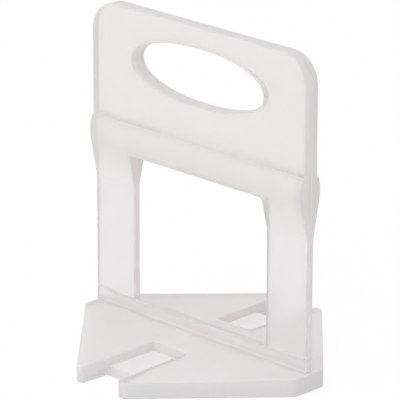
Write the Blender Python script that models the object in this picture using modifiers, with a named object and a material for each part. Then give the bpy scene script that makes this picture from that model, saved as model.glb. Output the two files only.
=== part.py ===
"""Tile levelling clip, moulded in one piece.

A lozenge base lies under the edges of the tiles. An upright stands on it and fills the joint: two thin legs,
a wedge window between them, a thick collar that the wedge bears on, and a grip plate with an oval finger hole.
The legs snap off at a scored line just above a low web that stays on the base.

Metres. X runs along the upright's width, Y through its thickness, and Z up from the underside of the base.
The mould opens along Y, so both halves of the clip are the same on either side of Y = 0.
"""

import math

import bmesh
import bpy

for old in list(bpy.data.objects):
    bpy.data.objects.remove(old, do_unlink=True)

# Upright, seen from the front
CLIP_WIDTH = 0.0500
CLIP_HEIGHT = 0.0585
LEG_WIDTH = 0.0092
WEB_HEIGHT = 0.0057
WINDOW_TOP = 0.0324
WINDOW_CORNER = 0.0005
GRIP_CORNER = 0.0053
GRIP_HOLE_WIDTH = 0.0308
GRIP_HOLE_HEIGHT = 0.0102
GRIP_HOLE_DROP = 0.0088
GRIP_HOLE_POWER = 2.1

# Upright, seen from the end
JOINT_WIDTH = 0.0015
COLLAR_THICKNESS = 0.0050
GRIP_THICKNESS = 0.0030
TAPER_START = 0.0267
TAPER_END = 0.0342
COLLAR_SHOULDER = 0.0354
GRIP_START = 0.0380
ROOT_FLARE = 0.0002
SCORE_DEPTH = 0.00015
SCORE_HEIGHT = 0.0005
FOOT_FILLET = 0.0003
EDGE_ROUND = 0.0003

# Base, seen from above
BASE_MARGIN = 0.00035
BASE_DEPTH = 0.0484
END_FLAT = 0.0066
TIP_FLAT = 0.0114
BASE_CORNER = 0.0006

# Base, seen from the end: it thins toward the tips, so that it leaves the mould
BASE_THICKNESS = 0.00325
BASE_DRAFT = math.radians(0.6)

# Slots at the two tips: full depth at the tip, half depth nearer the upright
SLOT_WIDTH = 0.0079
SLOT_DRAFT = math.radians(0.9)
SLOT_INSET = 0.0077
SLOT_FLOOR = 0.00145
SLOT_FLOOR_END = 0.0179
SLOT_FLOOR_SLOPE = 0.0007
SLOT_CORNER = 0.0004

# Fineness of the curves, and what counts as flat or as a corner
ARC_STEP = math.radians(15)
HOLE_STEPS = 64
SHOULDER_STEPS = 6
FLAT_BELOW = math.radians(0.2)
CORNER_ABOVE = math.radians(50)
SMOOTH_BELOW = math.radians(40)
CUT_PAST = 0.002
MERGE = 0.000001

half_width = CLIP_WIDTH / 2
half_leg = JOINT_WIDTH / 2
half_collar = COLLAR_THICKNESS / 2
half_grip = GRIP_THICKNESS / 2
root_z = BASE_THICKNESS / 2

clip = bpy.data.collections.new("tile_levelling_clip")
cutters = bpy.data.collections.new("cutters")
for collection in (clip, cutters):
    bpy.context.scene.collection.children.link(collection)
cutters.hide_render = True


def rounded(corners):
    """A closed outline. Each corner is (u, v, radius), and a radius above 0 becomes an arc."""
    points = []
    for i, (u, v, radius) in enumerate(corners):
        if radius == 0:
            points.append((u, v))
            continue
        before = corners[i - 1]
        after = corners[(i + 1) % len(corners)]
        angle_in = math.atan2(before[1] - v, before[0] - u)
        angle_out = math.atan2(after[1] - v, after[0] - u)
        opening = (angle_out - angle_in + math.pi) % (2 * math.pi) - math.pi
        reach = radius / math.sin(abs(opening) / 2)
        middle = angle_in + opening / 2
        centre = (u + reach * math.cos(middle), v + reach * math.sin(middle))
        turn = math.copysign(math.pi - abs(opening), opening)
        first = middle + math.pi + turn / 2
        steps = max(2, round(abs(turn) / ARC_STEP))
        for k in range(steps + 1):
            angle = first - turn * k / steps
            points.append((centre[0] + radius * math.cos(angle), centre[1] + radius * math.sin(angle)))
    return points


def oval(centre_u, centre_v, width, height, power):
    """A superellipse, a little fuller than an ellipse where power is above 2."""
    points = []
    for k in range(HOLE_STEPS):
        c = math.cos(2 * math.pi * k / HOLE_STEPS)
        s = math.sin(2 * math.pi * k / HOLE_STEPS)
        u = math.copysign(abs(c) ** (2 / power), c) * width / 2
        v = math.copysign(abs(s) ** (2 / power), s) * height / 2
        points.append((centre_u + u, centre_v + v))
    return points


def prism(name, loops, turn, middle, thickness):
    """A solid cut from flat outlines: their plane is turned, then moved to middle, and thickened both ways."""
    curve = bpy.data.curves.new(name, "CURVE")
    curve.dimensions = "2D"
    curve.fill_mode = "BOTH"
    curve.extrude = thickness / 2
    for loop in loops:
        spline = curve.splines.new("POLY")
        spline.points.add(len(loop) - 1)
        for point, (u, v) in zip(spline.points, loop):
            point.co = (u, v, 0, 1)
        spline.use_cyclic_u = True
    outline = bpy.data.objects.new(name + "_outline", curve)
    outline.rotation_euler = turn
    outline.location = middle
    clip.objects.link(outline)
    bpy.context.view_layer.update()
    graph = bpy.context.evaluated_depsgraph_get()
    mesh = bpy.data.meshes.new_from_object(outline.evaluated_get(graph))
    mesh.transform(outline.matrix_world)
    bpy.data.objects.remove(outline)

    bm = bmesh.new()
    bm.from_mesh(mesh)
    bmesh.ops.remove_doubles(bm, verts=bm.verts, dist=MERGE)
    bmesh.ops.recalc_face_normals(bm, faces=bm.faces)
    bm.to_mesh(mesh)
    bm.free()
    mesh.name = name
    return bpy.data.objects.new(name, mesh)


FROM_FRONT = (math.pi / 2, 0, 0)
FROM_END = (math.pi / 2, 0, math.pi / 2)
FROM_ABOVE = (0, 0, 0)


def as_cutter(obj):
    obj.hide_render = True
    obj.display_type = "WIRE"
    cutters.objects.link(obj)
    return obj


def combine(obj, other, operation):
    boolean = obj.modifiers.new(operation.lower() + "_" + other.name, "BOOLEAN")
    boolean.object = other
    boolean.operation = operation
    boolean.solver = "EXACT"


def round_edges(obj, width):
    """Dissolves the flat faces' spare edges, then rounds what is sharp."""
    flat = obj.modifiers.new("merge_flat_faces", "DECIMATE")
    flat.decimate_type = "DISSOLVE"
    flat.angle_limit = FLAT_BELOW
    bevel = obj.modifiers.new("round_edges", "BEVEL")
    bevel.width = width
    bevel.segments = 2
    bevel.limit_method = "ANGLE"
    bevel.angle_limit = CORNER_ABOVE
    bevel.use_clamp_overlap = False


def mirrored(half):
    """A closed outline from its half with v at +u, listed bottom to top, and the same at -u."""
    return half + [(-u, v) for u, v in reversed(half)]


def upright_outline():
    outer = rounded([
        (-half_width, root_z, 0),
        (half_width, root_z, 0),
        (half_width, CLIP_HEIGHT, GRIP_CORNER),
        (-half_width, CLIP_HEIGHT, GRIP_CORNER),
    ])
    side = half_width - LEG_WIDTH
    window = rounded([
        (-side, WEB_HEIGHT, WINDOW_CORNER),
        (side, WEB_HEIGHT, WINDOW_CORNER),
        (side, WINDOW_TOP, WINDOW_CORNER),
        (-side, WINDOW_TOP, WINDOW_CORNER),
    ])
    hole_z = CLIP_HEIGHT - GRIP_HOLE_DROP
    hole = oval(0, hole_z, GRIP_HOLE_WIDTH, GRIP_HOLE_HEIGHT, GRIP_HOLE_POWER)
    return [outer, window, hole]


def collar_shoulder():
    """The quarter of an ellipse that turns from the collar's widest place in to the grip plate."""
    points = []
    for k in range(SHOULDER_STEPS + 1):
        angle = math.pi / 2 * k / SHOULDER_STEPS
        u = half_grip + (half_collar - half_grip) * math.cos(angle)
        v = COLLAR_SHOULDER + (GRIP_START - COLLAR_SHOULDER) * math.sin(angle)
        points.append((u, v))
    return points


def upright_section():
    half_root = half_leg + ROOT_FLARE / 2
    half = [
        (half_root, root_z - CUT_PAST),
        (half_root, BASE_THICKNESS),
        (half_leg, (BASE_THICKNESS + WEB_HEIGHT) / 2),
        (half_leg, TAPER_START),
        (half_collar, TAPER_END),
    ]
    half += collar_shoulder()
    half += [(half_grip, CLIP_HEIGHT + CUT_PAST)]
    return mirrored(half)


def score_section(side):
    """The V that weakens the legs, just above the web. Its cutter runs on past the leg's face, still widening."""
    bottom = half_leg - SCORE_DEPTH
    middle = WEB_HEIGHT + SCORE_HEIGHT / 2
    reach = half_leg + CUT_PAST
    spread = SCORE_HEIGHT / 2 * (reach - bottom) / SCORE_DEPTH
    return [(side * bottom, middle), (side * reach, middle - spread), (side * reach, middle + spread)]


def make_upright():
    """The front outline and the end outline, each cut through the other, leave the upright."""
    upright = as_cutter(prism("upright", upright_outline(), FROM_FRONT, (0, 0, 0), COLLAR_THICKNESS + CUT_PAST))
    section = as_cutter(prism("upright_section", [upright_section()], FROM_END, (0, 0, 0), CLIP_WIDTH + CUT_PAST))
    combine(upright, section, "INTERSECT")
    round_edges(upright, EDGE_ROUND)
    for name, side in (("front_score", -1), ("rear_score", 1)):
        score = prism(name, [score_section(side)], FROM_END, (0, 0, 0), CLIP_WIDTH + CUT_PAST)
        combine(upright, as_cutter(score), "DIFFERENCE")
    return upright


def make_foot_fillet():
    """The sloped strip along both sides of the upright's foot."""
    half_root = half_leg + ROOT_FLARE / 2
    half = [
        (half_root + FOOT_FILLET, root_z),
        (half_root + FOOT_FILLET, BASE_THICKNESS),
        (half_root - FOOT_FILLET, BASE_THICKNESS + 2 * FOOT_FILLET),
    ]
    length = CLIP_WIDTH - 4 * EDGE_ROUND
    return as_cutter(prism("foot_fillet", [mirrored(half)], FROM_END, (0, 0, 0), length))


def base_outline():
    x = half_width + BASE_MARGIN
    y = BASE_DEPTH / 2
    end = END_FLAT / 2
    tip = TIP_FLAT / 2
    return rounded([
        (tip, -y, BASE_CORNER),
        (x, -end, BASE_CORNER),
        (x, end, BASE_CORNER),
        (tip, y, BASE_CORNER),
        (-tip, y, BASE_CORNER),
        (-x, end, BASE_CORNER),
        (-x, -end, BASE_CORNER),
        (-tip, -y, BASE_CORNER),
    ])


def base_section():
    reach = BASE_DEPTH / 2 + CUT_PAST
    drop = reach * math.tan(BASE_DRAFT)
    return [(-reach, 0), (reach, 0), (reach, BASE_THICKNESS - drop), (0, BASE_THICKNESS),
            (-reach, BASE_THICKNESS - drop)]


def slot_plan(side):
    """The slot seen from above. It widens by its draft toward the tip, on the side that side gives."""
    reach = BASE_DEPTH / 2 + CUT_PAST
    inner = SLOT_WIDTH / 2
    outer = inner + (reach - SLOT_INSET) * math.tan(SLOT_DRAFT)
    return rounded([
        (-inner, side * SLOT_INSET, SLOT_CORNER),
        (inner, side * SLOT_INSET, SLOT_CORNER),
        (outer, side * reach, 0),
        (-outer, side * reach, 0),
    ])


def slot_section(side):
    """The slot seen from the end: over its floor as far as the floor's sloped end, and all the way down past it."""
    reach = BASE_DEPTH / 2 + 2 * CUT_PAST
    inner = SLOT_INSET - CUT_PAST
    slope = SLOT_FLOOR_SLOPE / SLOT_FLOOR
    return [
        (side * inner, SLOT_FLOOR),
        (side * SLOT_FLOOR_END, SLOT_FLOOR),
        (side * (SLOT_FLOOR_END + slope * (SLOT_FLOOR + CUT_PAST)), -CUT_PAST),
        (side * reach, -CUT_PAST),
        (side * reach, BASE_THICKNESS + CUT_PAST),
        (side * inner, BASE_THICKNESS + CUT_PAST),
    ]


def make_slot(name, side):
    height = 3 * BASE_THICKNESS
    slot = as_cutter(prism(name, [slot_plan(side)], FROM_ABOVE, (0, 0, BASE_THICKNESS / 2), height))
    section = as_cutter(prism(name + "_section", [slot_section(side)], FROM_END, (0, 0, 0), 2 * SLOT_WIDTH))
    combine(slot, section, "INTERSECT")
    return slot


def finish(obj):
    """Applies the modifiers, closes the seams, and shades the curved faces smooth with the corners left sharp."""
    bpy.context.view_layer.update()
    graph = bpy.context.evaluated_depsgraph_get()
    mesh = bpy.data.meshes.new_from_object(obj.evaluated_get(graph))
    obj.modifiers.clear()
    bm = bmesh.new()
    bm.from_mesh(mesh)
    bmesh.ops.remove_doubles(bm, verts=bm.verts, dist=MERGE)
    bmesh.ops.dissolve_degenerate(bm, edges=bm.edges, dist=MERGE)
    bm.to_mesh(mesh)
    bm.free()
    mesh.shade_smooth()
    mesh.set_sharp_from_angle(angle=SMOOTH_BELOW)
    mesh.name = obj.name
    obj.data = mesh


def plastic():
    material = bpy.data.materials.new("natural_plastic")
    material.use_nodes = True
    shader = material.node_tree.nodes["Principled BSDF"]
    shader.inputs["Base Color"].default_value = (0.83, 0.80, 0.80, 1)
    shader.inputs["Roughness"].default_value = 0.42
    shader.inputs["Metallic"].default_value = 0
    return material


def make_clip():
    base = prism("levelling_clip", [base_outline()], FROM_ABOVE, (0, 0, BASE_THICKNESS / 2), 2 * BASE_THICKNESS)
    clip.objects.link(base)
    section = as_cutter(prism("base_section", [base_section()], FROM_END, (0, 0, 0), CLIP_WIDTH + 2 * CUT_PAST))
    combine(base, section, "INTERSECT")
    round_edges(base, EDGE_ROUND)
    combine(base, make_slot("front_slot", -1), "DIFFERENCE")
    combine(base, make_slot("rear_slot", 1), "DIFFERENCE")
    combine(base, make_foot_fillet(), "UNION")
    combine(base, make_upright(), "UNION")
    finish(base)
    base.data.materials.append(plastic())


make_clip()
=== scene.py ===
# %% [markdown]
# A tile levelling clip is one small injection moulding. Its lozenge base slides under the edges of the
# tiles, the upright stands in the joint between them, and a wedge pushed through the window presses them
# level. The thin legs then snap at a scored line, and the base stays under the floor. The moulding is
# uncoloured polypropylene: milky, a little see-through, and satin where the steel of the mould was
# polished.
#
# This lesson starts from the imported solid, which has the right sizes, and makes the surface that an eye
# expects: soft edges, drafted walls that meet in a parting line, and a plastic that light goes into.

# %% Load the frame
import math

import bmesh
import bpy
import numpy as np
from mathutils import Matrix, Vector
from mathutils.geometry import tessellate_polygon


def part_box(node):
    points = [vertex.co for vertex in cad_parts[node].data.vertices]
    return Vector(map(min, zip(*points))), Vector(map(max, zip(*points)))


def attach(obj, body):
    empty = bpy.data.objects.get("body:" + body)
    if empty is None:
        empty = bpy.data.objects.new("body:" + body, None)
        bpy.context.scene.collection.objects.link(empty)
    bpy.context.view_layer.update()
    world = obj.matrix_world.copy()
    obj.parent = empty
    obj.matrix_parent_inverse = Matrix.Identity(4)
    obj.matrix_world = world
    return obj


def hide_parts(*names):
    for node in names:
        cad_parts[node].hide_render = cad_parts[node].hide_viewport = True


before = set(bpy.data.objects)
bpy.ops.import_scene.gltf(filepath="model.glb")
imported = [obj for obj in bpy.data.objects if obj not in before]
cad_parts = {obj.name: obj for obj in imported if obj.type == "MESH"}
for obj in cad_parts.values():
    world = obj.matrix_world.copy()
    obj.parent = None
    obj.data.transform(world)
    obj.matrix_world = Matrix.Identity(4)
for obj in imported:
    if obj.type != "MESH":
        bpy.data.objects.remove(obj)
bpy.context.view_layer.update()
clip_low, clip_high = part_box("levelling_clip")
print("clip, in mm:", [round(1000 * (b - a), 2) for a, b in zip(clip_low, clip_high)])

# %% [markdown]
# The camera comes first. A long lens stands some 600 mm away, turned 44.5 degrees to the right of the
# front and 19 degrees up. Its axes are worked out from those two angles, and a roll of a sixth of a degree
# tips the picture a little.

# %% Camera
PICTURE_PIXELS = 400
SENSOR_WIDTH = 36
FOCAL_PIXELS = 3558
CAMERA_AZIMUTH = math.radians(44.52)
CAMERA_ELEVATION = math.radians(19.178)
CAMERA_ROLL = math.radians(0.167)
CAMERA_PLACE = Vector((0.398752, -0.406009, 0.225710))


def add_camera():
    """Turns a camera so that its -Z axis looks from the azimuth and elevation above."""
    back = Vector((
        math.sin(CAMERA_AZIMUTH) * math.cos(CAMERA_ELEVATION),
        -math.cos(CAMERA_AZIMUTH) * math.cos(CAMERA_ELEVATION),
        math.sin(CAMERA_ELEVATION),
    ))
    level_right = Vector((math.cos(CAMERA_AZIMUTH), math.sin(CAMERA_AZIMUTH), 0))
    level_up = back.cross(level_right)
    right = math.cos(CAMERA_ROLL) * level_right + math.sin(CAMERA_ROLL) * level_up
    up = back.cross(right)
    data = bpy.data.cameras.new("camera")
    data.sensor_width = SENSOR_WIDTH
    data.lens = FOCAL_PIXELS * SENSOR_WIDTH / PICTURE_PIXELS
    camera = bpy.data.objects.new("camera", data)
    turn = Matrix((right, up, back)).transposed().to_4x4()
    camera.matrix_world = Matrix.Translation(CAMERA_PLACE) @ turn
    bpy.context.scene.collection.objects.link(camera)
    bpy.context.scene.camera = camera
    print("lens, in mm:", round(data.lens, 1))


add_camera()

# %% [markdown]
# The main sizes that the overall box doesn't give are named here, in metres. X runs along the upright's
# width, Y through its thickness, and Z up from the underside. The mould opens along Y. The clip is the
# same on both sides of Y = 0 and on both sides of X = 0, so one quarter of the surface is enough, and
# two mirrors make the rest.

# %% Sizes
HEIGHT = clip_high.z
BASE_HALF_X = clip_high.x
BASE_HALF_Y = clip_high.y
BASE_MARGIN = 0.0002
HALF_WIDTH = BASE_HALF_X - BASE_MARGIN

LEG_WIDTH = 0.0095
WEB_HEIGHT = 0.0057
WINDOW_TOP = 0.0324
WINDOW_CORNER = 0.0005
GRIP_CORNER = 0.0053
HOLE_HALF_WIDTH = 0.01518
HOLE_HALF_HEIGHT = 0.0050
HOLE_DROP = 0.0088
HOLE_POWER = 2.1

HALF_LEG = 0.00075
HALF_COLLAR = 0.0026
HALF_GRIP = 0.0015
ROOT_FLARE = 0.0001
TAPER_START = 0.0267
TAPER_END = 0.0342
COLLAR_SHOULDER = 0.0354
GRIP_START = 0.0380
SHOULDER_POWER = 1.55
SCORE_DEPTH = 0.00015
SCORE_HEIGHT = 0.0005

BASE_THICKNESS = 0.00325
BASE_DRAFT = math.radians(0.6)
END_HALF = 0.0033
TIP_HALF = 0.0057
BASE_CORNER = 0.0006
SLOT_HALF = 0.00395
SLOT_DRAFT = math.radians(0.9)
SLOT_INSET = 0.0077
SLOT_CORNER = 0.0004
SLOT_FLOOR = 0.00145
SLOT_FLOOR_END = 0.0179
SLOT_FLOOR_SLOPE = 0.0007
WALL_DRAFT = math.radians(1.5)

# %% [markdown]
# A moulding's section tells most of its story. Seen from the end, the upright is a straight run of half
# thicknesses with its corners eased, and above the collar a shoulder that rounds in to the grip. Both
# are functions of the height alone, so the whole front can be bent over them later.

# %% Section of the upright
EASE = 0.0006
EASE_SAMPLES = 9
SHOWN_HEIGHTS = (0.010, 0.030, 0.035, 0.037, 0.045)
RUN = np.array([
    (BASE_THICKNESS, HALF_LEG + ROOT_FLARE),
    ((BASE_THICKNESS + WEB_HEIGHT) / 2, HALF_LEG),
    (TAPER_START, HALF_LEG),
    (TAPER_END, HALF_COLLAR),
])


def score_depth(z):
    """A V across the legs: deepest half-way up the score, and nothing at its two edges."""
    middle = WEB_HEIGHT + SCORE_HEIGHT / 2
    return SCORE_DEPTH * np.clip(1 - np.abs(z - middle) / (SCORE_HEIGHT / 2), 0, 1)


def half_thickness(z):
    """Half the upright's thickness at height z.

    Below the shoulder it is the straight run, averaged over a short span of height, which eases its
    corners. On the shoulder it is grip + (collar - grip) * (1 - t ** p) ** (1 / p), with t from 0 at its
    foot to 1 at its top."""
    z = np.asarray(z, float)
    spans = np.linspace(-EASE, EASE, EASE_SAMPLES)
    eased = np.mean([np.interp(z + span, RUN[:, 0], RUN[:, 1]) for span in spans], axis=0)
    t = np.clip((z - COLLAR_SHOULDER) / (GRIP_START - COLLAR_SHOULDER), 0, 1)
    bulge = (1 - t**SHOULDER_POWER) ** (1 / SHOULDER_POWER)
    shoulder = HALF_GRIP + (HALF_COLLAR - HALF_GRIP) * bulge
    return np.where(z < COLLAR_SHOULDER, eased, shoulder) - score_depth(z)


for shown in SHOWN_HEIGHTS:
    print(f"thickness at {1000 * shown:.0f} mm:", round(2000 * float(half_thickness(shown)), 2), "mm")

# %% [markdown]
# Every patch of the surface is a grid of points, in rows one way and in columns the other way. Patches
# share the points along their seams, so welding equal points closes the skin. Flat faces with awkward
# outlines need no grid: their outline is cut into triangles.

# %% Patches
patches = []
flats = []


def patch(points):
    """Keeps a grid of points, rows by columns by 3, as part of the quarter's surface."""
    patches.append(np.asarray(points, float))
    return patches[-1]


def flat(outline):
    """Keeps a flat face from its outline, a ring of points."""
    flats.append(np.asarray(outline, float))


def on_front(x, z, drop=0.0):
    """Points of the front face: y is minus the half thickness at z, less the drop of a rounded edge."""
    x, z, drop = np.broadcast_arrays(x, z, drop)
    return np.stack([x, drop - half_thickness(z), z], axis=-1)


def between(start, end, steps):
    """Evenly spaced values from start to end, both included."""
    return np.linspace(start, end, steps + 1)


def joined(*runs):
    """One list of values from several that follow on from each other, without their shared ends."""
    return np.concatenate([runs[0]] + [run[1:] for run in runs[1:]])


# %% [markdown]
# All edges of the upright are made by one function, because a mould maker treats them alike: the face
# rolls over a small radius into a wall, and the wall leans in by the draft that lets the part leave the
# mould. The two walls, front and rear, meet at the parting line. At the clip's two ends a hair of
# plastic creeps between the halves of the mould and stays as a fine ridge. Each path is given by its
# points in the XZ plane and by the directions that point out of the plastic.

# %% Edge bands
ARC = between(0, math.pi / 2, steps=5)
WALL_STEPS = np.array([0.3, 0.6, 0.8, 0.9, 0.96, 1.0])
RIDGE_HEIGHT = 0.0001
RIDGE_HALF = 0.00014
RIDGE_START = BASE_THICKNESS + 0.0003
RIDGE_RISE = 0.0010
FACING_POWER = 4


def edge_band(path, outward, margin, radius, parted=0.0):
    """The margin, the rounded edge and the drafted wall along a path, down to the parting plane.

    At angle a of the rounding a point lies radius * (1 - sin a) inside the wall and radius * (1 - cos a)
    below the face. At depth d from the parting plane the wall has leant in by d * tan(draft). A parted
    wall has a ridge there, of height * sin(90 degrees * (1 - d / half width)) ** 2. The ridge rises from
    nothing over a short way above the base, and fades where the outline turns away from X."""
    z = path[:, 1]
    radius = np.broadcast_to(radius, z.shape)[:, None]
    top_of_wall = half_thickness(z)[:, None] - radius
    lean = math.tan(WALL_DRAFT)
    inset = lean * top_of_wall + radius * (1 - np.sin(ARC))
    inset = np.concatenate([np.full_like(z, margin)[:, None], inset], axis=1)
    drop = np.concatenate([np.zeros_like(z)[:, None], radius * (1 - np.cos(ARC))], axis=1)
    plane = path[:, None, :] - outward[:, None, :] * inset[..., None]
    face = on_front(plane[..., 0], plane[..., 1], drop)

    depth = top_of_wall * (1 - WALL_STEPS)
    near_parting = np.clip(1 - depth / RIDGE_HALF, 0, 1)
    risen = np.clip((z - RIDGE_START) / RIDGE_RISE, 0, 1)[:, None]
    facing = np.abs(outward[:, :1]) ** FACING_POWER
    ridge = RIDGE_HEIGHT * (risen * facing) * np.sin(near_parting * math.pi / 2) ** 2
    plane = path[:, None, :] - outward[:, None, :] * (lean * depth - parted * ridge)[..., None]
    wall = np.stack([plane[..., 0], -depth, plane[..., 1]], axis=-1)
    return np.concatenate([face, wall], axis=1)


# %% [markdown]
# The window is a rectangle with small corners. Its path runs from the middle of the web, out along the
# web's crest, round the corner, up the leg, and back along the underside of the collar.

# %% Window
WINDOW_MARGIN = 0.0005
WINDOW_EDGE = 0.0004
CORNER_STEPS = 8
HALF_CORNER = CORNER_STEPS // 2
window_half = HALF_WIDTH - LEG_WIDTH
inner_x = window_half - WINDOW_CORNER
outer_x = window_half + WINDOW_MARGIN
x_lines = between(0, inner_x, steps=14)
z_lines = joined(
    between(WEB_HEIGHT + WINDOW_CORNER, TAPER_START - 2 * EASE, steps=12),
    between(TAPER_START - 2 * EASE, TAPER_START + 2 * EASE, steps=8),
    between(TAPER_START + 2 * EASE, WINDOW_TOP - WINDOW_CORNER, steps=8),
)


def window_path():
    """The window's outline, as lines and two quarter circles, and the directions into its opening."""
    turn = np.linspace(0, math.pi / 2, CORNER_STEPS + 1)[1:-1]
    low_arc = np.stack([np.sin(turn), -np.cos(turn)], axis=1)
    high_arc = np.stack([np.cos(turn), np.sin(turn)], axis=1)
    low_centre = np.array([inner_x, WEB_HEIGHT + WINDOW_CORNER])
    high_centre = np.array([inner_x, WINDOW_TOP - WINDOW_CORNER])
    ones = np.ones_like
    path = np.concatenate([
        np.stack([x_lines, WEB_HEIGHT * ones(x_lines)], axis=1),
        low_centre + WINDOW_CORNER * low_arc,
        np.stack([window_half * ones(z_lines), z_lines], axis=1),
        high_centre + WINDOW_CORNER * high_arc,
        np.stack([x_lines[::-1], WINDOW_TOP * ones(x_lines)], axis=1),
    ])
    inward = np.concatenate([
        np.tile([0.0, 1.0], (len(x_lines), 1)),
        -low_arc,
        np.tile([-1.0, 0.0], (len(z_lines), 1)),
        -high_arc,
        np.tile([0.0, -1.0], (len(x_lines), 1)),
    ])
    return path, inward


window_band = patch(edge_band(*window_path(), WINDOW_MARGIN, WINDOW_EDGE))
print("points round half the window:", len(window_band))

# %% [markdown]
# The front of the legs, the web and the collar is one grid with the window left out. Its lines run at
# the heights where the section bends, so the shoulder comes out clean. At the window's corners a strip
# of small faces fits the square grid to the round margin.

# %% Front of the legs and the collar
OUTER_MARGIN = 0.0010
FOOT_FILLET = 0.00025
SPLIT = GRIP_START + 0.0020
SHOULDER_STEPS = 12
margin_x = HALF_WIDTH - OUTER_MARGIN
foot_y = -float(half_thickness(BASE_THICKNESS + FOOT_FILLET)) - FOOT_FILLET
foot_z = BASE_THICKNESS + foot_y * math.tan(BASE_DRAFT) + FOOT_FILLET

corner_x = between(inner_x, outer_x, HALF_CORNER)
low_corner_z = between(WEB_HEIGHT - WINDOW_MARGIN, WEB_HEIGHT + WINDOW_CORNER, HALF_CORNER)
high_corner_z = between(WINDOW_TOP - WINDOW_CORNER, WINDOW_TOP + WINDOW_MARGIN, HALF_CORNER)
leg_x = between(outer_x, margin_x, steps=8)
all_x = joined(x_lines, corner_x, leg_x)
web_z = between(foot_z, WEB_HEIGHT - WINDOW_MARGIN, steps=4)
leg_z = joined(low_corner_z, z_lines, high_corner_z)
shoulder_z = COLLAR_SHOULDER + (GRIP_START - COLLAR_SHOULDER) * np.sin(
    np.linspace(0, math.pi / 2, SHOULDER_STEPS + 1)
)
collar_z = joined(
    between(WINDOW_TOP + WINDOW_MARGIN, TAPER_END + EASE, steps=8),
    between(TAPER_END + EASE, COLLAR_SHOULDER, steps=2),
    shoulder_z,
    between(GRIP_START, SPLIT, steps=3),
)
all_z = joined(web_z, leg_z, collar_z)


def front_grid(x, z):
    """The front face over a grid of x and z values."""
    return patch(on_front(x[None, :], z[:, None]))


def corner_strip(first, corner_z, reverse):
    """Faces between the window's round margin and the square corner of the grid round it."""
    arc = window_band[first : first + CORNER_STEPS + 1, 0]
    flat_z, side_z = (corner_z[-1], corner_z[::-1]) if reverse else (corner_z[0], corner_z)
    across = on_front(corner_x, flat_z)
    along = on_front(outer_x, side_z)
    square = np.concatenate([across, along[1:]])
    if reverse:
        square = square[::-1]
    patch(np.stack([arc, square], axis=1))


front_grid(all_x, web_z)
front_grid(leg_x, leg_z)
front_grid(all_x, collar_z)
corner_strip(len(x_lines) - 1, low_corner_z, reverse=False)
corner_strip(len(x_lines) + CORNER_STEPS - 2 + len(z_lines), high_corner_z, reverse=True)

# %% [markdown]
# The grip is flat, so only its two outlines matter: an oval a little fuller than an ellipse, and a plate
# with round top corners. Straight lines drawn from one to the other, in matching directions, fill the
# face between.

# %% Grip
HOLE_MARGIN = 0.00075
HOLE_EDGE = 0.00055
hole_z = HEIGHT - HOLE_DROP
grip_side_z = between(SPLIT, HEIGHT - GRIP_CORNER, steps=16)
grip_turn = between(0, math.pi / 2, steps=12)
grip_top_x = between(HALF_WIDTH - GRIP_CORNER, 0, steps=14)


def grip_path():
    """The grip's outline above the collar, up the side and over the top, with its outward directions."""
    arc = np.stack([np.cos(grip_turn), np.sin(grip_turn)], axis=1)
    centre = np.array([HALF_WIDTH - GRIP_CORNER, HEIGHT - GRIP_CORNER])
    side = np.stack([HALF_WIDTH * np.ones_like(grip_side_z), grip_side_z], axis=1)
    top = np.stack([grip_top_x, HEIGHT * np.ones_like(grip_top_x)], axis=1)
    path = np.concatenate([side[:-1], centre + GRIP_CORNER * arc, top[1:]])
    outward = np.concatenate([
        np.tile([1.0, 0.0], (len(side) - 1, 1)),
        arc,
        np.tile([0.0, 1.0], (len(top) - 1, 1)),
    ])
    return path, outward


def hole_path(towards):
    """Points of the oval |x/a|**p + |z/b|**p = 1 towards the given points, and the directions into it."""
    x = towards[:, 0] / HOLE_HALF_WIDTH
    z = (towards[:, 1] - hole_z) / HOLE_HALF_HEIGHT
    scale = (np.abs(x) ** HOLE_POWER + np.abs(z) ** HOLE_POWER) ** (-1 / HOLE_POWER)
    x, z = x * scale, z * scale
    steep_x = np.sign(x) * np.abs(x) ** (HOLE_POWER - 1) / HOLE_HALF_WIDTH
    steep_z = np.sign(z) * np.abs(z) ** (HOLE_POWER - 1) / HOLE_HALF_HEIGHT
    slope = np.stack([steep_x, steep_z], axis=1)
    inward = -slope / np.linalg.norm(slope, axis=1, keepdims=True)
    path = np.stack([x * HOLE_HALF_WIDTH, hole_z + z * HOLE_HALF_HEIGHT], axis=1)
    return path, inward


grip_outline, grip_outward = grip_path()
below = np.stack([all_x, np.full_like(all_x, SPLIT)], axis=1)
around = np.concatenate([below[:-1], grip_outline - OUTER_MARGIN * grip_outward])
hole_outline, hole_inward = hole_path(around)
hole_band = patch(edge_band(hole_outline, hole_inward, HOLE_MARGIN, HOLE_EDGE))
share = between(0, 1, steps=6)[None, :, None]
patch(hole_band[:, :1] * (1 - share) + on_front(around[:, 0], around[:, 1])[:, None] * share)
print("points round half the oval:", len(hole_outline))

# %% [markdown]
# The outer edge is softest where the plastic is thickest: the collar's ends round over by most of a
# millimetre, and the thin legs by about a third of one.

# %% Outer edge
LEG_EDGE = 0.00036
COLLAR_EDGE = 0.00085
GRIP_EDGE = 0.00045


def outer_radius(z):
    """The outer edge's radius at each height."""
    heights = [TAPER_START, TAPER_END, COLLAR_SHOULDER, GRIP_START]
    return np.interp(z, heights, [LEG_EDGE, COLLAR_EDGE, COLLAR_EDGE, GRIP_EDGE])


side_path = np.stack([HALF_WIDTH * np.ones_like(all_z), all_z], axis=1)[:-1]
outer_path = np.concatenate([side_path, grip_outline])
outer_outward = np.concatenate([np.tile([1.0, 0.0], (len(side_path), 1)), grip_outward])
outer_edge = outer_radius(outer_path[:, 1])
outer_band = edge_band(outer_path, outer_outward, OUTER_MARGIN, outer_edge, parted=1.0)

# %% [markdown]
# The upright grows out of the base with a small hollow fillet, which shrinks to almost nothing round the
# legs' ends, where the base stands out by a fifth of a millimetre only. The fillet's cross-section is a
# quarter circle, carried along the foot and turned with it.

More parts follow.
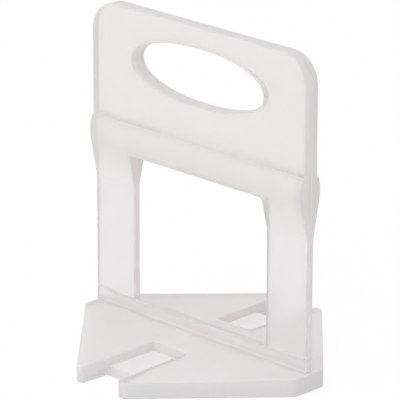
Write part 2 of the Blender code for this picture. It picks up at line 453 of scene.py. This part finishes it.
# %% Foot fillet
END_FILLET = 0.00005


def base_top(y):
    """The base's top, which falls away from the upright by the draft."""
    return BASE_THICKNESS - np.abs(y) * math.tan(BASE_DRAFT)


round_part = np.concatenate([[0.0], ARC, np.full(len(WALL_STEPS), math.pi / 2)])
end_share = round_part / (math.pi / 2)
end_fillet = FOOT_FILLET + (END_FILLET - FOOT_FILLET) * end_share
end_outward = np.stack([np.sin(round_part), -np.cos(round_part)], axis=1)
end_reach = outer_band[0, :, :2] + end_fillet[:, None] * end_outward
outer_band[0, :, 2] = base_top(end_reach[:, 1]) + end_fillet
patch(outer_band)

foot = np.concatenate([on_front(all_x[:-1], foot_z), outer_band[0]])
foot_fillet = np.concatenate([np.full(len(all_x) - 1, FOOT_FILLET), end_fillet])[:, None]
foot_outward = np.concatenate([np.tile([0.0, -1.0], (len(all_x) - 1, 1)), end_outward])
reach = foot_fillet * (1 - np.cos(ARC))
plan = foot[:, None, :2] + foot_outward[:, None, :] * reach[..., None]
fillet_z = foot[:, 2:] - foot_fillet * np.sin(ARC)
foot_surface = patch(np.concatenate([plan, fillet_z[..., None]], axis=-1))

# %% [markdown]
# The base is a plate whose outline turns four corners in this quarter: from the end flat to the
# diagonal, from there to the flat of the tip, into the slot's mouth, and at the slot's inner end. One
# rounded path goes all the way, and a band is carried along it, as for the upright. The rim's edge is
# sharper in the middle of the end flat, where the upright stands close behind it. The slot keeps a
# half-depth floor nearer the upright, which slopes down to nothing further out, and two more points of
# the path mark where that slope starts and ends.

# %% Outline of the base
BASE_EDGE = 0.00022
END_EDGE = 0.00010
SLOT_EDGE = 0.00008
MOUTH_CORNER = 0.00025
RIM_STEPS = 6
FLOOR_POINTS = RIM_STEPS + 4
floor_foot = SLOT_FLOOR_END + SLOT_FLOOR_SLOPE
slot_lean = math.tan(SLOT_DRAFT)


def slot_x(y):
    """Half the slot's width, which grows by its draft from the inner wall out to the tip."""
    return SLOT_HALF + slot_lean * (np.abs(y) - SLOT_INSET)


def rounded_path(corners):
    """Points, outward directions and edge radii along straight lines with round corners.

    The plastic lies to the right of the path. A corner is x, y, its radius and the edge radius there.
    Its arc has its centre radius / cos(swing / 2) from the corner, on the inside of the turn."""
    xy = np.array([corner[:2] for corner in corners])
    legs = np.diff(xy, axis=0)
    headings = np.arctan2(legs[:, 0], -legs[:, 1])
    points, outward, edges = [], [], []
    for i, (_, _, radius, edge) in enumerate(corners):
        start = headings[max(i - 1, 0)]
        end = headings[min(i, len(headings) - 1)]
        swing = (end - start + math.pi) % (2 * math.pi) - math.pi
        share = np.linspace(0, 1, RIM_STEPS + 1) if radius else np.array([0.5])
        angles = start + swing * share
        normals = np.stack([np.cos(angles), np.sin(angles)], axis=1)
        side = math.copysign(1, swing)
        middle = start + swing / 2
        halfway = np.array([math.cos(middle), math.sin(middle)])
        centre = xy[i] + side * radius / math.cos(swing / 2) * halfway
        points.append(centre - side * radius * normals)
        outward.append(normals)
        edges.append(np.full(len(normals), edge))
    return np.concatenate(points), np.concatenate(outward), np.concatenate(edges)


base_corners = [
    (BASE_HALF_X, 0, 0, END_EDGE),
    (BASE_HALF_X, -END_HALF, BASE_CORNER, BASE_EDGE),
    (TIP_HALF, -BASE_HALF_Y, BASE_CORNER, BASE_EDGE),
    (slot_x(BASE_HALF_Y), -BASE_HALF_Y, MOUTH_CORNER, BASE_EDGE),
    (slot_x(floor_foot), -floor_foot, 0, SLOT_EDGE),
    (slot_x(SLOT_FLOOR_END), -SLOT_FLOOR_END, 0, SLOT_EDGE),
    (SLOT_HALF, -SLOT_INSET, SLOT_CORNER, SLOT_EDGE),
    (0, -SLOT_INSET, 0, SLOT_EDGE),
]
rim, rim_outward, rim_edge = rounded_path(base_corners)
print("base outline points:", len(rim))

# %% [markdown]
# The base's band goes from the top face over the rounded rim, down the wall, and round the lower edge.
# In the pocket it stops at the floor instead: that holds for the last points of the path, which are one
# round corner and three single points. The flat faces then close the quarter: the top, the pocket's
# floor and its slope, and the underside.

# %% Surface of the base
DOWN_THE_WALL = np.array([0.25, 0.5, 0.75])
floor_height = np.interp(-rim[:, 1], [SLOT_FLOOR_END, floor_foot], [SLOT_FLOOR, 0])
in_slot = np.arange(len(rim)) >= len(rim) - FLOOR_POINTS
low_height = np.where(in_slot, floor_height, 0)[:, None]
low_edge = np.where(in_slot, 0, rim_edge)[:, None]
top_edge = rim_edge[:, None]
rim_inset = np.concatenate([
    top_edge * (1 - np.sin(ARC)),
    np.zeros((len(rim), len(DOWN_THE_WALL))),
    low_edge * (1 - np.cos(ARC)),
], axis=1)
rim_plan = rim[:, None, :] - rim_outward[:, None, :] * rim_inset[..., None]
rim_top = base_top(rim_plan[:, : len(ARC), 1]) - top_edge * (1 - np.cos(ARC))
rim_low = low_height + low_edge * (1 - np.sin(ARC))
rim_wall = rim_top[:, -1:] * (1 - DOWN_THE_WALL) + rim_low[:, :1] * DOWN_THE_WALL
rim_z = np.concatenate([rim_top, rim_wall, rim_low], axis=1)
rim_band = patch(np.concatenate([rim_plan, rim_z[..., None]], axis=-1))

first_low = int(np.argmax(in_slot))
first_floor = first_low + 1
flat(np.concatenate([rim_band[:, 0], foot_surface[:, -1]]))
flat(np.concatenate([rim_band[first_floor:, -1], [(0, -SLOT_FLOOR_END, SLOT_FLOOR)]]))
flat([
    rim_band[first_low, -1],
    rim_band[first_floor, -1],
    (0, -SLOT_FLOOR_END, SLOT_FLOOR),
    (0, -floor_foot, 0),
])
flat(np.concatenate([rim_band[: first_low + 1, -1], [(0, -floor_foot, 0), (0, 0, 0)]]))
print("patches and flat faces in the quarter:", len(patches), len(flats))

# %% [markdown]
# Now the quarter is turned into faces, mirrored twice and welded. A bought part is one closed skin, so
# the cell counts the edges that don't have exactly two faces: there must be none, or light would leak
# through the plastic.

# %% The whole skin
WELD = 0.000001
SHARP = math.radians(35)


def quarter_faces():
    """All points of the quarter, and its faces as tuples of point numbers."""
    points, faces = [], []
    count = 0
    for grid in patches:
        rows, columns = grid.shape[:2]
        index = count + np.arange(rows * columns).reshape(rows, columns)
        ring = np.stack([index[:-1, :-1], index[1:, :-1], index[1:, 1:], index[:-1, 1:]], axis=-1)
        faces.extend(ring.reshape(-1, 4).tolist())
        points.append(grid.reshape(-1, 3))
        count += rows * columns
    for outline in flats:
        triangles = tessellate_polygon([[Vector(point) for point in outline]])
        faces.extend([[count + corner for corner in triangle] for triangle in triangles])
        points.append(outline)
        count += len(outline)
    return np.concatenate(points), faces


def whole_skin(name):
    """A mesh of the quarter and its three mirror images, welded, with all faces pointing outwards."""
    points, faces = quarter_faces()
    signs = np.array([(1, 1, 1), (-1, 1, 1), (1, -1, 1), (-1, -1, 1)])
    everything = np.concatenate([points * sign for sign in signs])
    copies = [[corner + i * len(points) for corner in face] for i in range(len(signs)) for face in faces]
    mesh = bpy.data.meshes.new(name)
    mesh.from_pydata(everything.tolist(), [], copies)
    skin = bmesh.new()
    skin.from_mesh(mesh)
    bmesh.ops.remove_doubles(skin, verts=skin.verts, dist=WELD)
    bmesh.ops.dissolve_degenerate(skin, edges=skin.edges, dist=WELD)
    bmesh.ops.recalc_face_normals(skin, faces=skin.faces)
    torn = sum(len(edge.link_faces) != 2 for edge in skin.edges)
    print("faces:", len(skin.faces), " torn edges:", torn)
    print("volume, in cm3:", round(1e6 * skin.calc_volume(), 3))
    skin.to_mesh(mesh)
    skin.free()
    mesh.shade_smooth()
    mesh.set_sharp_from_angle(angle=SHARP)
    return mesh


clip = bpy.data.objects.new("clip", whole_skin("clip"))
bpy.context.scene.collection.objects.link(clip)
weighted = clip.modifiers.new("weighted", "WEIGHTED_NORMAL")
weighted.keep_sharp = True
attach(clip, "root")
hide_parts("levelling_clip")

# %% [markdown]
# Shader graphs read like arithmetic when a socket knows how to add, subtract and multiply. This small
# wrapper makes one node per operation. One method makes every other node, and the short ones after it
# are the tools of this lesson: a soft step, a soft ridge, soft noise, and a mix of two colours or of two
# shaders.

# %% Shader arithmetic
class Socket:
    """An output of a shader node that can be used in arithmetic."""

    def __init__(self, graph, output):
        self.graph = graph
        self.output = output

    def __add__(self, other):
        return self.graph.math("ADD", self, other)

    def __radd__(self, other):
        return self.graph.math("ADD", other, self)

    def __sub__(self, other):
        return self.graph.math("SUBTRACT", self, other)

    def __rsub__(self, other):
        return self.graph.math("SUBTRACT", other, self)

    def __mul__(self, other):
        return self.graph.math("MULTIPLY", self, other)

    def __rmul__(self, other):
        return self.graph.math("MULTIPLY", other, self)


class Graph:
    """A material's node tree, or the world's, emptied and ready to be filled."""

    def __init__(self, owner):
        owner.use_nodes = True
        self.tree = owner.node_tree
        self.tree.nodes.clear()

    def node(self, kind, settings=None, inputs=None, output=0):
        """Makes a node, gives it its settings, values and links, and returns one of its outputs."""
        made = self.tree.nodes.new(kind)
        for name, value in (settings or {}).items():
            setattr(made, name, value)
        for name, value in (inputs or {}).items():
            if isinstance(value, Socket):
                self.tree.links.new(value.output, made.inputs[name])
            else:
                made.inputs[name].default_value = value
        return Socket(self, made.outputs[output]) if made.outputs else None

    def math(self, operation, first, second=0.0):
        """Any operation of the Math node."""
        return self.node("ShaderNodeMath", {"operation": operation}, {0: first, 1: second})

    def most(self, *values):
        """The largest of several values."""
        largest = values[0]
        for value in values[1:]:
            largest = self.math("MAXIMUM", largest, value)
        return largest

    def parts(self, vector):
        """The X, Y and Z of a vector."""
        return [self.node("ShaderNodeSeparateXYZ", inputs={0: vector}, output=axis) for axis in "XYZ"]

    def ramp(self, value, low, high):
        """A soft step: 0 where the value is under low, 1 above high."""
        return self.node(
            "ShaderNodeMapRange",
            {"interpolation_type": "SMOOTHSTEP"},
            {"Value": value, "From Min": low, "From Max": high, "To Min": 0.0, "To Max": 1.0},
        )

    def ridge(self, value, middle, half_width):
        """A soft ridge: 1 at the middle, and 0 from the half width away on."""
        away = self.math("ABSOLUTE", value - middle)
        return self.ramp(half_width - away, 0.0, half_width)

    def noise(self, place, size, detail):
        """Soft noise round 0.5, in lumps of about the given size in metres."""
        inputs = {"Vector": place, "Scale": 1 / size, "Detail": detail}
        return self.node("ShaderNodeTexNoise", inputs=inputs)

    def mix(self, share, first, second):
        """A colour between two colours, which are the node's sockets 6 and 7."""
        inputs = {"Factor": share, 6: first, 7: second}
        return self.node("ShaderNodeMix", {"data_type": "RGBA"}, inputs, output=2)

    def blend(self, share, first, second):
        """One shader that is a share of the second and the rest of the first."""
        return self.node("ShaderNodeMixShader", inputs={0: share, 1: first, 2: second})


# %% [markdown]
# Every part of the finish needs to know where it is. The object's coordinates give the place in metres.
# The normal, in the same axes, tells which way the surface faces: along X at the two ends and at the
# walls of the window, along Y on the broad faces, and along Z on top. Squares of it are shares that add
# up to one.

# %% Place and direction
plastic = bpy.data.materials.new("milky_plastic")
graph = Graph(plastic)
place = graph.node("ShaderNodeTexCoord", output="Object")
across, depth, height = graph.parts(place)
normal_x, normal_y, normal_z = graph.parts(graph.node("ShaderNodeTexCoord", output="Normal"))
on_ends = normal_x * normal_x
on_faces = normal_y * normal_y
on_tops = normal_z * normal_z
from_middle = graph.math("ABSOLUTE", across)
print("material:", plastic.name)

# %% [markdown]
# Milky polypropylene lets some light straight through and scatters the rest. The thinner the wall, the
# larger the clear share. The white paper behind the legs shines through them, the thick collar hides it,
# and the half-depth floors of the slots let the most through. These shares hold for a look through the
# broad faces and down through the base. The way in from an end is long, so the share goes down as the
# surface turns to the ends.

# %% Clear share of the plastic
THROUGH_LEG = 0.42
THROUGH_GRIP = 0.36
THROUGH_COLLAR = 0.16
THROUGH_BASE = 0.30
THROUGH_POCKET = 0.60
ROOT_LOW = 0.0030
ROOT_HIGH = 0.0042
COLLAR_LOW = TAPER_START + 0.0012
GRIP_LOW = GRIP_START - 0.0002
GRIP_HIGH = GRIP_START + 0.0026
POCKET_LOW = SLOT_FLOOR + 0.00005
POCKET_HIGH = SLOT_FLOOR + 0.0003

above_base = graph.ramp(height, ROOT_LOW, ROOT_HIGH)
in_grip = graph.ramp(height, GRIP_LOW, GRIP_HIGH)
in_collar = graph.ramp(height, COLLAR_LOW, TAPER_END) * (1 - in_grip)
in_pocket = 1 - graph.ramp(height, POCKET_LOW, POCKET_HIGH)
collar_change = (THROUGH_COLLAR - THROUGH_LEG) * in_collar
grip_change = (THROUGH_GRIP - THROUGH_LEG) * in_grip
upright = THROUGH_LEG + collar_change + grip_change
plate = THROUGH_BASE + (THROUGH_POCKET - THROUGH_BASE) * in_pocket
through = upright * above_base * on_faces + plate * (1 - above_base) * on_tops

# %% [markdown]
# The raw colour isn't even. On the broad faces it is a little more beige above the taper and pinker
# below it. Faint clouds some millimetres across show how the melt flowed into the mould. The outer walls
# of the base are tinted a plain grey, a painted cool shade tone. Painted shade darkens the crest of the
# web, the foot, the collar's ends and the rounded edges of the thick parts. The parting line is a hair of
# thin plastic, and a painted highlight makes it the lightest of all. The rounded edges are found by the
# product of the normal's X and Y, which is largest, one half, where the surface faces half-way between
# the two.

# %% Colour of the plastic
UPPER = (0.842, 0.785, 0.755, 1)
LOWER = (0.860, 0.782, 0.794, 1)
WALL_SHADE_GREY = (0.815, 0.808, 0.808, 1)
CLOUDY = (0.790, 0.745, 0.735, 1)
PAINTED_SHADE = (0.715, 0.660, 0.655, 1)
FLASH_HIGHLIGHT = (0.950, 0.910, 0.920, 1)
TINT_LOW = 0.0265
TINT_HIGH = 0.0295
WALL_SHADE_START = SLOT_HALF + 0.0003
WALL_SHADE_END = SLOT_HALF + 0.0010
CLOUD_SIZE = 0.007
CLOUD_DETAIL = 3
CLOUD_LOW = 0.35
CLOUD_HIGH = 0.75
CLOUD_SHARE = 0.35
CREST_HALF = 0.0005
CREST_SHARE = 0.7
FOOT_LINE = BASE_THICKNESS + 0.0003
FOOT_HALF = 0.0003
FLASH_HALF = 0.0003
FLASH_LOW = HALF_WIDTH - 0.0006
FLASH_HIGH = HALF_WIDTH - 0.0001
FLASH_HIGHLIGHT_SHARE = 0.8
EDGE_SHARE = 0.6
COLLAR_END = 0.0026
COLLAR_END_SHARE = 0.9

at_skin = graph.ramp(from_middle, FLASH_LOW, FLASH_HIGH)
flash_highlight = graph.ridge(depth, 0.0, FLASH_HALF) * at_skin * above_base
thick = graph.ramp(height, TAPER_START, TAPER_END) * (1 - flash_highlight)
rounded_edge_shade = graph.math("ABSOLUTE", normal_x * normal_y) * 2 * thick
collar_end_shade = graph.ramp(from_middle, HALF_WIDTH - COLLAR_END, HALF_WIDTH) * in_collar * on_faces
# Painted shade: the web's crest, the foot line, the rounded edges of the thick parts and the collar's ends
# are darkened in the colour.
painted_shade = graph.most(
    graph.ridge(height, WEB_HEIGHT, CREST_HALF) * CREST_SHARE,
    graph.ridge(height, FOOT_LINE, FOOT_HALF),
    rounded_edge_shade * EDGE_SHARE,
    collar_end_shade * COLLAR_END_SHARE,
) * (1 - flash_highlight)
clouds = graph.ramp(graph.noise(place, CLOUD_SIZE, CLOUD_DETAIL), CLOUD_LOW, CLOUD_HIGH)
tint = graph.mix(graph.ramp(height, TINT_LOW, TINT_HIGH) * on_faces, LOWER, UPPER)
# Painted shade tone: the sideways-facing outer walls of the base are tinted a cool grey.
outer_wall_shade = graph.ramp(from_middle, WALL_SHADE_START, WALL_SHADE_END) * (1 - above_base) * (1 - on_tops)
tint = graph.mix(outer_wall_shade, tint, WALL_SHADE_GREY)
tint = graph.mix(clouds * CLOUD_SHARE, tint, CLOUDY)
tint = graph.mix(painted_shade, tint, PAINTED_SHADE)
# Painted highlight: the thin flash along the parting line is lightened to the lightest colour of all.
tint = graph.mix(flash_highlight * FLASH_HIGHLIGHT_SHARE, tint, FLASH_HIGHLIGHT)

# %% [markdown]
# The mould was polished by hand, so the gloss changes a little from patch to patch, and up close the
# skin has a very fine grain. Two shaders carry both: the milk, in which light wanders some millimetres
# under the surface before it comes out again, and the clear plastic, which is rough enough to blur what
# stands behind it.

# %% Milk and clear plastic
ROUGHNESS = 0.5
ROUGHNESS_SWING = 0.2
PATCH_SIZE = 0.003
PATCH_DETAIL = 2
GRAIN_SIZE = 0.0005
GRAIN_DETAIL = 2
GRAIN_DEPTH = 0.00003
GRAIN_STRENGTH = 0.15
IOR = 1.49
WANDER = 0.009
WANDER_RADIUS = (1.0, 0.9, 0.8)
GLASS = (1.000, 0.985, 0.985, 1)
SHADED_EDGE_GLASS = (0.860, 0.840, 0.840, 1)
GLASS_ROUGHNESS = 0.18

gloss = ROUGHNESS + (graph.noise(place, PATCH_SIZE, PATCH_DETAIL) - 0.5) * ROUGHNESS_SWING
grain = graph.node("ShaderNodeBump", inputs={
    "Strength": GRAIN_STRENGTH,
    "Distance": GRAIN_DEPTH,
    "Height": graph.noise(place, GRAIN_SIZE, GRAIN_DETAIL),
})
milk = graph.node("ShaderNodeBsdfPrincipled", inputs={
    "Base Color": tint,
    "Roughness": gloss,
    "IOR": IOR,
    "Normal": grain,
    "Subsurface Weight": 1.0,
    "Subsurface Radius": WANDER_RADIUS,
    "Subsurface Scale": WANDER,
})
# Painted shade: the clear share is tinted darker at the rounded edges of the thick parts.
clear = graph.node("ShaderNodeBsdfPrincipled", inputs={
    "Base Color": graph.mix(rounded_edge_shade, GLASS, SHADED_EDGE_GLASS),
    "Roughness": GLASS_ROUGHNESS,
    "IOR": IOR,
    "Normal": grain,
    "Transmission Weight": 1.0,
})

# %% [markdown]
# Light that went in through the clear share meets the skin again from inside. In real milky plastic a
# part of it scatters there, so the skin gets a thin veil on its inner side. At the end walls the veil is
# all of it, in a darker colour that is painted shade. Seen at a slant through the broad face, this
# painted shade draws the dark line along the clip's left edges.

# %% Skin seen from inside
VEIL = (0.90, 0.88, 0.87, 1)
VEIL_SHARE = 0.15
END_VEIL_SHADE = (0.45, 0.445, 0.445, 1)

inside = graph.node("ShaderNodeNewGeometry", output="Backfacing")
veil = graph.node("ShaderNodeBsdfTranslucent", inputs={"Color": VEIL})
end_veil_shade = graph.node("ShaderNodeBsdfTranslucent", inputs={"Color": END_VEIL_SHADE})
veil_share = VEIL_SHARE + (1 - VEIL_SHARE) * on_ends
within = graph.blend(veil_share, clear, graph.blend(on_ends, veil, end_veil_shade))
body = graph.blend(inside, graph.blend(through, milk, clear), within)
graph.node("ShaderNodeOutputMaterial", inputs={"Surface": body})
clip.data.materials.append(plastic)
print("nodes in the material:", len(graph.tree.nodes))

# %% [markdown]
# The set is one wide sheet of white paper. To the camera, and to rays that come to it through the
# plastic or off its gloss, nine tenths of the sheet are an even glow, so the picture's ground is as
# white as the photograph's. The last tenth, and the whole sheet for all other light, is plain paper,
# which is lit by the lamps and takes the clip's shadow.

# %% Stage
PAPER_HALF = 2.0
PAPER_WHITE = (0.9, 0.9, 0.9, 1)
WHITE = (1, 1, 1, 1)
GLOW = 1.03
GLOW_SHARE = 0.9

paper_mesh = bpy.data.meshes.new("paper")
paper_corners = [(PAPER_HALF * x, PAPER_HALF * y, 0) for x, y in ((-1, -1), (1, -1), (1, 1), (-1, 1))]
paper_mesh.from_pydata(paper_corners, [], [(0, 1, 2, 3)])
paper = bpy.data.objects.new("paper", paper_mesh)
bpy.context.scene.collection.objects.link(paper)


def seen_ray(nodes, *kinds):
    """1 for the camera's rays and for the kinds named, and 0 for all others."""
    rays = [nodes.node("ShaderNodeLightPath", output=f"Is {kind} Ray") for kind in ("Camera", *kinds)]
    return nodes.most(*rays)


paper_look = bpy.data.materials.new("paper")
paper_graph = Graph(paper_look)
sheet = paper_graph.node("ShaderNodeBsdfDiffuse", inputs={"Color": PAPER_WHITE})
glow = paper_graph.node("ShaderNodeEmission", inputs={"Color": WHITE, "Strength": GLOW})
look = paper_graph.blend(seen_ray(paper_graph, "Glossy", "Transmission") * GLOW_SHARE, sheet, glow)
paper_graph.node("ShaderNodeOutputMaterial", inputs={"Surface": look})
paper.data.materials.append(paper_look)
print("paper, in m:", 2 * PAPER_HALF)

# %% [markdown]
# The light is soft, because a pale object needs its form drawn by shades and not by shadows. A bright
# room gives most of it. The room is dimmer to the camera's left and right, which lets the end walls fall
# a little behind the faces. The main lamp stands left of the front, a weak one at the right opens the
# ends, and a weaker one behind lights the rear of the base. To the camera, and to rays through the
# plastic, the room is plain white.

# %% Light
ROOM = 0.74
ROOM_SIDES = 0.26
SIDE_START = 0.4
LAMP_SIZE = 0.8
LAMP_DISTANCE = 0.9
LAMP_ELEVATION = math.radians(20)

world = bpy.data.worlds.new("room")
bpy.context.scene.world = world
room_graph = Graph(world)
way = room_graph.node("ShaderNodeTexCoord", output="Generated")
side_way = (math.cos(CAMERA_AZIMUTH), math.sin(CAMERA_AZIMUTH), 0)
sideways = room_graph.node(
    "ShaderNodeVectorMath",
    {"operation": "DOT_PRODUCT"},
    {0: way, 1: side_way},
    output="Value",
)
dimming = room_graph.ramp(room_graph.math("ABSOLUTE", sideways), SIDE_START, 1.0)
strength = ROOM - (ROOM - ROOM_SIDES) * dimming
dim = room_graph.node("ShaderNodeBackground", inputs={"Color": WHITE, "Strength": strength})
white = room_graph.node("ShaderNodeBackground", inputs={"Color": WHITE, "Strength": 1.0})
room = room_graph.blend(seen_ray(room_graph, "Transmission"), dim, white)
room_graph.node("ShaderNodeOutputWorld", inputs={"Surface": room})


def add_lamp(name, azimuth, strength):
    """A square soft lamp that faces the clip. Strength 1 lights a white sheet turned to it about white."""
    way = Vector((
        math.sin(azimuth) * math.cos(LAMP_ELEVATION),
        -math.cos(azimuth) * math.cos(LAMP_ELEVATION),
        math.sin(LAMP_ELEVATION),
    ))
    data = bpy.data.lights.new(name, "AREA")
    data.size = LAMP_SIZE
    data.energy = strength * math.pi**2 * LAMP_DISTANCE**2
    lamp = bpy.data.objects.new(name, data)
    turn = way.to_track_quat("Z", "Y").to_matrix().to_4x4()
    lamp.matrix_world = Matrix.Translation(LAMP_DISTANCE * way) @ turn
    bpy.context.scene.collection.objects.link(lamp)
    print(name, "in W:", round(data.energy, 2))


add_lamp("front_lamp", azimuth=math.radians(-22), strength=0.325)
add_lamp("right_lamp", azimuth=math.radians(80), strength=0.07)
add_lamp("rear_lamp", azimuth=math.radians(190), strength=0.05)

# %% [markdown]
# The Standard view shows colours as they are written, with no film look over them.

# %% Finish
bpy.context.scene.view_settings.view_transform = "Standard"
